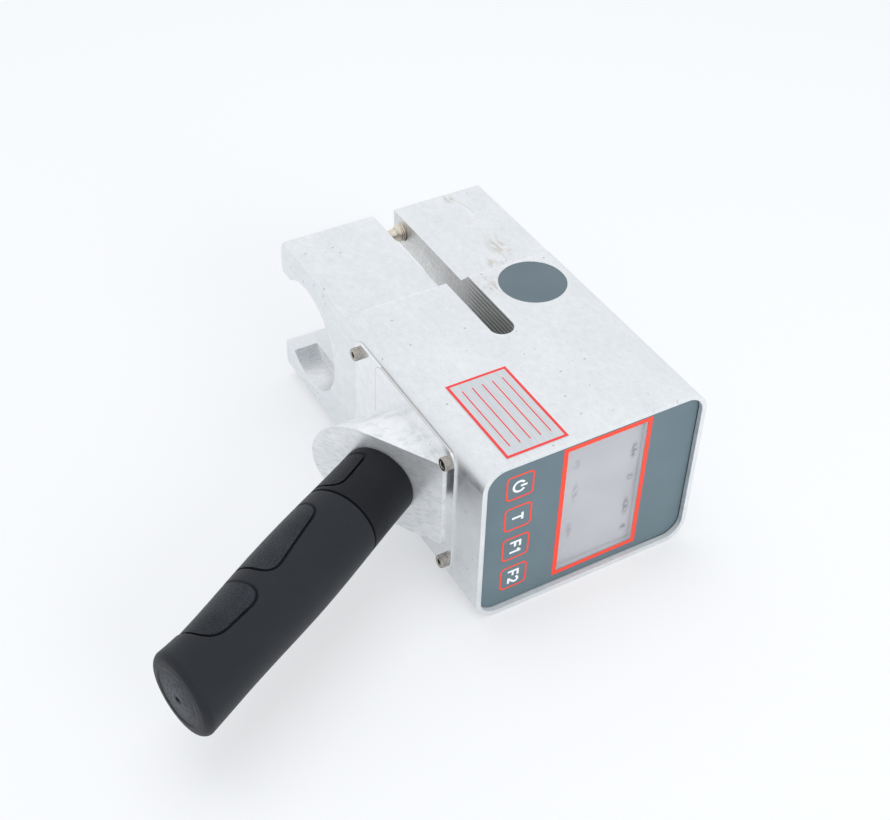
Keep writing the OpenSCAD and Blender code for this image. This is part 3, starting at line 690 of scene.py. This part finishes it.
def label_foil():
    """Silver-grey foil of the label."""
    f = Finish("label_foil")
    grain = f.cloud(0.5 * MM, 2, stretch=(1, 20, 1))
    return f.shade(base_color=f.tones(grain, label_tones), metallic=0.25, roughness=f.between(grain, 0.36, 0.48))


def grip_rubber(name, grain_size, depth, tones, gloss):
    """Moulded rubber: near black, with a grain of one size and depth.

    The neck, before the ring's groove, is darker by painted shade from the bracket's boss, and the grip's end face
    is worn and paler, the paleness partly painted light.
    """
    f = Finish(name)
    grain = f.cloud(grain_size, 2)
    tone = f.tones(f.blend((0.6, grain), (0.4, f.cloud(18 * MM, 3))), tones)
    # The end face is paler: wear, and painted light on the face
    wear_and_highlight = f.product(f.spot(grip_end_middle, (worn_and_lit_reach,) * 3), f.level(f.cloud(1.3 * MM, 4), 0.36, 0.58))
    tone = f.mix(f.product(wear_and_highlight, 0.8), tone, worn_and_lit_rubber_tone)
    # Painted shade on the neck, next to the bracket's boss, up to the ring's groove
    place = f.vector("SUBTRACT", f.place, Vector(handle_at))
    along = f.vector("DOT_PRODUCT", place, Vector(handle_along), "Value")
    tone = f.mix(f.level(along, ring_at - fade, ring_at + fade, 0.6, 0.0), tone, neck_shade_tone)
    height = f.blend((1.0, grain), (2.0, wear_and_highlight))
    return f.shade(base_color=tone, roughness=f.between(grain, gloss - 0.06, gloss + 0.08),
                   specular_ior_level=0.16, normal=f.bumps(height, depth))


def moulded_plastic(name, tones):
    """Inner plastic and board pieces: an even tone with a fine grain."""
    f = Finish(name)
    grain = f.cloud(0.6 * MM, 3)
    return f.shade(base_color=f.tones(grain, tones), roughness=f.between(grain, 0.45, 0.6),
                   normal=f.bumps(grain, 0.01 * MM))


key_middles = [sum(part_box(key), Vector()) / 2 for key in ("key_power", "key_tare", "key_f1", "key_f2")]
handle_along, handle_back = np.array([[-math.cos(handle_tilt), -math.sin(handle_tilt), 0],
                                      [-math.sin(handle_tilt), math.cos(handle_tilt), 0]])
grip_end_middle = Vector(handle_at + end_at[0] * handle_along + end_at[1] * handle_back)
finishes = {
    "body_aluminium": blasted_aluminium(),
    "bracket_aluminium": brushed_aluminium(),
    "steel": turned_metal("turned_steel", steel_tones, 0.22),
    "brass": plunger_brass(),
    "gauge_foil": turned_metal("gauge_foil", foil_tones, 0.35),
    "panel_film": printed_film("panel_film", film_tones, key_middles),
    "window": window_plastic(),
    "lcd": display_glass(),
    "label": label_foil(),
    "rubber": grip_rubber("grip_rubber", 0.5 * MM, 0.012 * MM, rubber_tones, 0.46),
    "pad_rubber": grip_rubber("pad_rubber", 0.75 * MM, 0.40 * MM, pad_tones, 0.44),
    "black_plastic": moulded_plastic("black_plastic", plastic_tones),
    "board": moulded_plastic("board_mask", board_tones),
}
plate_metal = turned_metal("plate_metal", plate_tones, 0.5)
cover_film = printed_film("cover_film", cover_tones)
orange_ink = ink("orange_ink", orange_tones)
white_ink = ink("white_ink", white_tones)
red_ink = ink("red_ink", red_tones)

own_finish = {"gauge_cover": cover_film, "front_plate": plate_metal}
for part in frame["record"]["subparts"]:
    carried = frame["nodes"][part["node"]].data
    carried.materials.clear()
    carried.materials.append(own_finish.get(part["node"], finishes[part["material_slot"]]))


# Print on the film: the display's border, the keys' outlines and their legends

film_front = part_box("keypad_film")[0].y
window_low, window_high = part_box("display_window")
window_size = window_high - window_low
right, up, forward = (1, 0, 0), (0, 0, 1), (0, -1, 0)


def middle(node):
    """The middle of a node's box, on the film's face."""
    low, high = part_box(node)
    return Vector(((low.x + high.x) / 2, film_front, (low.z + high.z) / 2))


border = rectangle(window_size.x + display_border, window_size.z + display_border)
points, faces = ribbon(border, display_border, True)
add_piece("display_border", laid(points, middle("display_window"), right, up, forward), faces,
          orange_ink, "meter", "panel_film")

# Strokes of each legend, in units of half its height: across and up as it is read
legends = {
    "key_power": [arc((0, -0.12), 1.0, 125, 415, 40), [(0, 0.1), (0, 1.25)]],
    "key_tare": [[(-0.72, 0.82), (0.72, 0.82)], [(0, 0.82), (0, -1)]],
    "key_f1": [[(-1.15, -1), (-1.15, 1)], [(-1.15, 0.82), (-0.02, 0.82)], [(-1.15, -0.08), (-0.14, -0.08)],
               [(0.95, -1), (0.95, 1)], [(0.98, 0.78), (0.42, 0.42)]],
    "key_f2": [[(-1.15, -1), (-1.15, 1)], [(-1.15, 0.82), (-0.02, 0.82)], [(-1.15, -0.08), (-0.14, -0.08)],
               np.concatenate([arc((0.86, 0.34), 0.5, 165, -35, 16), [(0.42, -0.82)]]),
               [(0.24, -0.82), (1.44, -0.82)]],
}
for key, strokes in legends.items():
    points, faces = ribbon(round_square(key_line_side, key_line_side, key_line_r), key_line, True)
    add_piece(key + "_outline", laid(points, middle(key), right, up, forward), faces,
              orange_ink, "meter", "panel_film")
    made = joined([ribbon(np.asarray(s, float) * legend_h / 2, legend_stroke, False, ink_lift * i)
                   for i, s in enumerate(strokes)])
    add_piece(key + "_legend", laid(made[0], middle(key), (0, 0, -1), right, forward), made[1],
              white_ink, key + "_body", "panel_film")


# Print on the label: its border and plain rules

label_low, label_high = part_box("label_plate")
label_size = label_high - label_low
label_top = Vector(((label_low.x + label_high.x) / 2, (label_low.y + label_high.y) / 2, label_high.z))
strokes = [ribbon(rectangle(label_size.x - label_line, label_size.y - label_line), label_line, True)]
rule_l = label_size.y - 2 * label_margin
for across in np.linspace(-0.5, 0.5, label_rules + 2)[1:-1] * label_size.x:
    strokes.append(ribbon([(across, -rule_l / 2), (across, rule_l / 2)], label_rule, False))
points, faces = joined(strokes)
add_piece("label_print", laid(points, label_top, (1, 0, 0), (0, 1, 0), (0, 0, 1)), faces, red_ink, "meter", "label")


# Turned pieces: the plunger's sleeve, pin and spring, and the bracket's screws

turn = np.linspace(0, 2 * np.pi, turned_sides, endpoint=False)


def closed_rings(rings):
    """A closed piece of rings of points, in the order of the walk: the first ring's cap faces back along it."""
    rows, columns = rings.shape[:2]
    ring = np.arange(columns)
    faces = band_faces(rows, columns, False) + [ring[::-1].tolist(), (ring + columns * (rows - 1)).tolist()]
    return rings.reshape(-1, 3), faces


def turned(x, radius, centre):
    """A piece turned round X: ring k has the points (x, r cos t, r sin t) from the centre, r may change with t."""
    radius = np.broadcast_to(radius, (len(x), turned_sides))
    x = np.broadcast_to(np.asarray(x)[:, None], radius.shape)
    return closed_rings(np.stack([x, radius * np.cos(turn), radius * np.sin(turn)], axis=-1) + np.asarray(centre))


def threaded_sleeve():
    """The plunger's sleeve, from the end of its bore out over the lip and back along the thread.

    The outside starts as a round cone from the lip to the thread's crest, one less a power of the share left. Past
    it the radius falls from the crest by one less the root of a triangle wave of the distance along the axis less
    the turn times the pitch, so a wide crest and a narrow valley run as a helix; the valley grows over half a pitch
    at both ends.
    """
    low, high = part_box("plunger_body")
    crest, length = (high.z - low.z) / 2, high.x - low.x
    lip = lip_r + lip_wall
    along = np.linspace(0, length, int(length / thread_pitch * thread_steps))
    wave = np.abs(((along[:, None] / thread_pitch - turn[None, :] / (2 * np.pi)) % 1) * 2 - 1)
    grown = np.clip(np.minimum(along - sleeve_nose, length - along) / (thread_pitch / 2), 0, 1)[:, None]
    nose = 1 - np.clip(1 - along / sleeve_nose, 0, 1)[:, None] ** nose_power
    outside = lip + (crest - lip) * nose - thread_depth * grown * (1 - np.sqrt(wave))
    inside = np.array([bore_r, bore_r, lip_r, lip_r])[:, None] * np.ones(turned_sides)
    x = np.concatenate([[length - sleeve_end, lip_l, lip_l, 0], along])
    return turned(x, np.concatenate([inside, outside]), (low.x, (low.y + high.y) / 2, (low.z + high.z) / 2))


def sprung_pin():
    """The plunger's pin: a nose as a quarter of an ellipse, a stem, a collar and a tail, turned round X."""
    low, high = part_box("plunger_pin")
    share = np.linspace(pin_tip, 1, pin_nose_steps)
    x = np.concatenate([pin_nose_l * share, np.repeat(pin_collar, 2), [high.x - low.x]])
    radius = np.concatenate([pin_nose_r * np.sqrt(1 - (1 - share) ** 2),
                             [pin_nose_r, pin_collar_r, pin_collar_r, pin_tail_r, pin_tail_r]])
    return turned(x, radius[:, None], (low.x, (low.y + high.y) / 2, (low.z + high.z) / 2))


def coil_spring():
    """The plunger's spring: a round wire carried along a helix round X.

    A ring at a turn t lies along X by its share of all turns. Its points stand out from the axis by the coil's
    radius plus the wire's radius times the cosine of an angle, and along X by the wire's radius times its sine.
    """
    low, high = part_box("plunger_spring")
    coil = np.linspace(0, 2 * np.pi * spring_turns, spring_turns * turn_steps + 1)[:, None]
    wire = np.linspace(0, -2 * np.pi, wire_sides, endpoint=False)
    x = spring_wire_r * (1 + np.sin(wire)) + (high.x - low.x - 2 * spring_wire_r) * coil / coil[-1]
    radius = (high.z - low.z) / 2 - spring_wire_r * (1 - np.cos(wire))
    rings = np.stack([x, radius * np.cos(coil), radius * np.sin(coil)], axis=-1)
    return closed_rings(rings + np.array([low.x, (low.y + high.y) / 2, (low.z + high.z) / 2]))


def socket_screw(top, end, y, z):
    """A socket-head screw along X, from the socket's floor out over the head and along the shank.

    The socket's radius is half its flats over the cosine of the turn from the nearest flat's middle. The head's
    side is knurled: its radius falls by a share of the knurl's depth, the square of a sine of the turn.
    """
    sixth = np.pi / 3
    hexagon = socket_flats / 2 / np.cos((turn + sixth / 2) % sixth - sixth / 2)
    knurled = head_r - knurl_depth * np.sin(turn * knurls / 2) ** 2
    flat = np.ones(turned_sides)
    x = np.array([socket_depth, socket_chamfer, 0, 0, head_chamfer, head_h - head_chamfer,
                  head_h, head_h, end - top]) + top
    radius = np.stack([hexagon, hexagon, hexagon + socket_chamfer, (head_r - head_chamfer) * flat, knurled, knurled,
                       (head_r - head_chamfer / 2) * flat, shank_r * flat, shank_r * flat])
    return turned(x, radius, (0, y, z))


sleeve = add_piece("plunger_thread", *threaded_sleeve(), finishes["brass"], "meter", "brass", smooth=True)
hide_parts("plunger_body")
pin = add_piece("sprung_pin", *sprung_pin(), finishes["brass"], "pin", "brass", smooth=True)
pin.data.set_sharp_from_angle(angle=pin_sharp)
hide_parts("plunger_pin")
spring = add_piece("coil_spring", *coil_spring(), finishes["steel"], "meter", "steel", smooth=True)
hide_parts("plunger_spring")
low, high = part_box("plunger_spring")
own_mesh(spring)
low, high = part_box("bracket_screws")
heads = [socket_screw(low.x, high.x, y, z)
         for y in (low.y + head_r, high.y - head_r) for z in (low.z + head_r, high.z - head_r)]
screws = add_piece("bracket_socket_screws", *joined(heads), finishes["steel"], "meter", "steel")
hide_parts("bracket_screws")


# Bracket

def fitted_bracket():
    """The bracket's own solid, with the back of its flange let down towards the body's round edge.

    A point of the flange's back that lies h above the start of the round edge moves in by a share of the gap
    there, r - sqrt(r * r - h * h).
    """
    solid = bmesh.new()
    solid.from_mesh(frame["nodes"]["handle_bracket"].data)
    bmesh.ops.remove_doubles(solid, verts=solid.verts, dist=weld)
    points = np.array([v.co for v in solid.verts])
    faces = [[v.index for v in face.verts] for face in solid.faces]
    solid.free()
    above = np.clip(points[:, 2] - (body_h - edge_r), 0, edge_r)
    on_back = np.abs(points[:, 0] + body_side) < on_face
    points[:, 0] += on_back * flange_let_in * (edge_r - np.sqrt(edge_r ** 2 - above ** 2))
    return points, faces


bracket = add_piece("fitted_bracket", *fitted_bracket(), finishes["bracket_aluminium"], "meter",
                    "bracket_aluminium", smooth=True)
bracket.data.set_sharp_from_angle(angle=bracket_sharp)
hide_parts("handle_bracket")


# Grip

def eased(share):
    """0 to 1 with level ends: half of one less the cosine of the share of half a turn."""
    return (1 - np.cos(np.pi * np.clip(share, 0, 1))) / 2


def pad_outline(start, end, edge_start, edge_end, start_corner, end_corner):
    """A pad's edge as (along, back): down its start, along it and up its end, with parabolas at the corners."""
    far = 2 * belly_r
    stops = np.array([[start, far], [start, edge_start], [end, edge_end], [end, far]])
    share = np.linspace(0, 1, pad_corner_steps)[:, None]
    path = [stops[:1]]
    for i, corner in ((1, start_corner), (2, end_corner)):
        before, after = stops[i - 1] - stops[i], stops[i + 1] - stops[i]
        first = stops[i] + corner * before / np.linalg.norm(before)
        last = stops[i] + corner * after / np.linalg.norm(after)
        path.append((1 - share) ** 2 * first + 2 * share * (1 - share) * stops[i] + share ** 2 * last)
    return np.concatenate(path + [stops[3:]])


def outside_pad(along, back, path):
    """How far a place lies outside a pad's edge: the least distance to its stretches, below 0 inside it."""
    place = np.stack([along, back], axis=-1)[..., None, :]
    step = path[1:] - path[:-1]
    share = np.clip(np.sum((place - path[:-1]) * step, axis=-1) / np.sum(step ** 2, axis=-1), 0, 1)
    least = np.linalg.norm(place - path[:-1] - share[..., None] * step, axis=-1).min(axis=-1)
    inside = (along > path[0, 0]) & (along < path[-1, 0]) & (back > np.interp(along, path[:, 0], path[:, 1]))
    return np.where(inside, -least, least)


def sunk(distance, start, end):
    """1 up to a start, falling smoothly to 0 at an end."""
    return 1 - eased((distance - start) / (end - start))


def grip_rings():
    """The grip, from the end of its bore out over the neck, along the outside and over the end face into the vent.

    A ring lies at a distance along the handle, set towards the back and tilted; its points are its radius times
    the cosine of the turn towards the back and the sine down. The radius eases from neck to belly to waist, and
    the flare adds the square of the share past its start. Pads and the ring's groove sink the radius. On the end
    face the height over the rim's plane follows a round edge, a small step and a shallow parabola.
    """
    dense = np.radians(np.arange(-fine_reach, fine_reach, math.degrees(grip_step / belly_r)))
    turn = np.concatenate([dense, np.radians(np.arange(fine_reach, 360 - fine_reach, coarse_step))])
    normal = np.array([math.cos(end_tilt), math.sin(end_tilt)])
    rim_at = end_at - end_round * normal
    rim_r = waist_r + flare_out

    corner = np.linspace(0, np.pi / 2, neck_steps)
    rows = np.arange(neck_round, rim_at[0], grip_step)[1:]
    near_ring = np.linspace(-1, 1, ring_rows) * (ring_half + ring_lip + grip_step) + ring_at
    rows = np.concatenate([rows[rows < near_ring[0]], near_ring, rows[rows > near_ring[-1]]])
    along = np.concatenate([[bore_end, 0], neck_round * (1 - np.cos(corner)), rows])
    belly = neck_r + (belly_r - neck_r) * eased(along / belly_at)
    waist = belly_r + (waist_r - belly_r) * eased((along - belly_at) / (waist_at - belly_at))
    flare = np.clip((along - flare_from) / (rim_at[0] - flare_from), 0, 1)
    radius = np.where(along < belly_at, belly, waist) + flare_out * flare ** 2
    radius[:2] = tube_bore_r
    radius[2:2 + neck_steps] += neck_round * (np.sin(corner) - 1)
    late = np.clip((along - tilt_from) / (rim_at[0] - tilt_from), 0, 1)
    late[:2] = 0
    tilt, back = end_tilt * late ** 1.5, rim_at[1] * late ** 2

    def placed(along, back, tilt, radius):
        """Points (along, back, down) of rings with one row each."""
        reach = radius * np.cos(turn)
        return np.stack([along[:, None] - reach * np.sin(tilt)[:, None],
                         back[:, None] + reach * np.cos(tilt)[:, None],
                         np.broadcast_to(radius * np.sin(turn), reach.shape)], axis=-1)

    radius = np.broadcast_to(radius[:, None], (len(along), len(turn)))
    smooth = placed(along, back, tilt, radius)
    outside = np.arange(len(along))[:, None] >= 2 + neck_steps
    depth = ring_depth * sunk(np.abs(along - ring_at), ring_half, ring_half + ring_lip)[:, None]
    for pad in pads:
        beyond = outside_pad(smooth[..., 0], smooth[..., 1], pad_outline(*pad))
        depth = np.maximum(depth, pad_depth * sunk(beyond, 0.9 * groove_w, groove_w + lip_round))
    stem = placed(along, back, tilt, radius - outside * depth)

    corner = np.linspace(0, np.pi / 2, end_steps)
    face = np.linspace(rim_r - end_round, end_step_r + 0.5 * end_step, face_steps)[1:]
    disc = np.linspace(end_step_r - 0.5 * end_step, vent_r + vent_lip, disc_steps)
    radius = np.concatenate([rim_r + end_round * (np.cos(corner[1:]) - 1), face, disc, [vent_r, vent_r]])
    height = np.concatenate([end_round * (np.sin(corner[1:]) - 1), 0 * face, 0 * disc - end_step, [0, 0]])
    height += end_bulge * (1 - np.clip(radius / (rim_r - end_round), 0, 1) ** 2)
    height[-2:] += [-end_step - vent_lip, -vent_depth]
    shift = vent_shift * (1 - np.clip(radius / end_step_r, 0, 1))
    shift[-2:] = shift[-3]
    across = np.array([-math.sin(end_tilt), math.cos(end_tilt)])
    middle = end_at + height[:, None] * normal + shift[:, None] * across
    end = placed(middle[:, 0], middle[:, 1], np.full(len(radius), end_tilt), radius[:, None])
    return np.concatenate([stem, end])


local = grip_rings()
handle_down = np.array([0, 0, -1])
rings = handle_at + local[..., :1] * handle_along + local[..., 1:2] * handle_back + local[..., 2:] * handle_down
grip = add_piece("moulded_grip", *closed_rings(rings), finishes["rubber"], "meter", "rubber", smooth=True)
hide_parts("grip")


# Floor, light and camera

def background_share(tree, straight, mirrored):
    """How much a surround shows as plain white: one share in straight views and through glass, one in mirrors."""
    light = tree.nodes.new("ShaderNodeLightPath").outputs

    def reckon(operation, *values):
        """The result of an operation on light's shares and numbers."""
        made = tree.nodes.new("ShaderNodeMath")
        made.operation = operation
        for socket, value in zip(made.inputs, values):
            if isinstance(value, bpy.types.NodeSocket):
                tree.links.new(value, socket)
            else:
                socket.default_value = value
        return made.outputs[0]

    seen = reckon("MAXIMUM", light["Is Camera Ray"], light["Is Transmission Ray"])
    return reckon("MULTIPLY_ADD", light["Is Glossy Ray"], mirrored, reckon("MULTIPLY", seen, straight))


def show(tree, share, first, second, output):
    """Leads two shaders, blended by a share, to an output."""
    blend = tree.nodes.new("ShaderNodeMixShader")
    for socket, value in zip(blend.inputs, (share, first.outputs[0], second.outputs[0])):
        tree.links.new(value, socket)
    tree.links.new(blend.outputs[0], tree.nodes.new(output).inputs["Surface"])


def white_floor():
    """White paper that shows nearly white and keeps a pale share of the shadow."""
    corners = np.array([[-1, -1, 0], [1, -1, 0], [1, 1, 0], [-1, 1, 0]]) * floor_half
    corners[:, 2] = -floor_drop
    mesh = bpy.data.meshes.new("floor")
    mesh.from_pydata(corners.tolist(), [], [[0, 1, 2, 3]])
    material = bpy.data.materials.new("white_paper")
    material.use_nodes = True
    tree = material.node_tree
    tree.nodes.clear()
    paper = tree.nodes.new("ShaderNodeBsdfDiffuse")
    paper.inputs["Color"].default_value = paper_tone
    glow = tree.nodes.new("ShaderNodeEmission")
    glow.inputs["Color"].default_value = glow_tone
    show(tree, background_share(tree, *floor_white), paper, glow, "ShaderNodeOutputMaterial")
    mesh.materials.append(material)
    floor = bpy.data.objects.new("floor", mesh)
    bpy.context.scene.collection.objects.link(floor)


def studio_world():
    """Pale surroundings: softer as light than as what shows."""
    world = bpy.data.worlds.new("studio")
    bpy.context.scene.world = world
    world.use_nodes = True
    tree = world.node_tree
    tree.nodes.clear()
    soft = tree.nodes.new("ShaderNodeBackground")
    soft.inputs["Color"].default_value = soft_tone
    soft.inputs["Strength"].default_value = soft_strength
    shown = tree.nodes.new("ShaderNodeBackground")
    shown.inputs["Color"].default_value = shown_tone
    shown.inputs["Strength"].default_value = shown_strength
    show(tree, background_share(tree, 1.0, 1.0), soft, shown, "ShaderNodeOutputWorld")


def soft_box(name, at, size, power):
    """A square soft light at a place, turned to the target; metal mirrors the pale surroundings in its place."""
    lamp = bpy.data.lights.new(name, "AREA")
    lamp.shape = "SQUARE"
    lamp.size = size
    lamp.energy = power
    holder = bpy.data.objects.new(name, lamp)
    holder.location = at
    holder.rotation_euler = (Vector(light_target) - Vector(at)).to_track_quat("-Z", "Y").to_euler()
    holder.visible_glossy = False
    bpy.context.scene.collection.objects.link(holder)


def photo_camera():
    """The photograph's view: a place, a direction and a small roll."""
    lens = bpy.data.cameras.new("photo_view")
    lens.sensor_width = sensor
    lens.lens = sensor * focal_px / image_px
    lens.clip_start = camera_near
    camera = bpy.data.objects.new("photo_view", lens)
    turn = camera_forward.to_track_quat("-Z", "Y").to_matrix().to_4x4()
    camera.matrix_world = Matrix.Translation(camera_at) @ turn @ Matrix.Rotation(camera_roll, 4, "Z")
    bpy.context.scene.collection.objects.link(camera)
    bpy.context.scene.camera = camera


white_floor()
studio_world()
for name, light in lights.items():
    soft_box(name, *light)
photo_camera()
bpy.context.scene.view_settings.view_transform = "Standard"
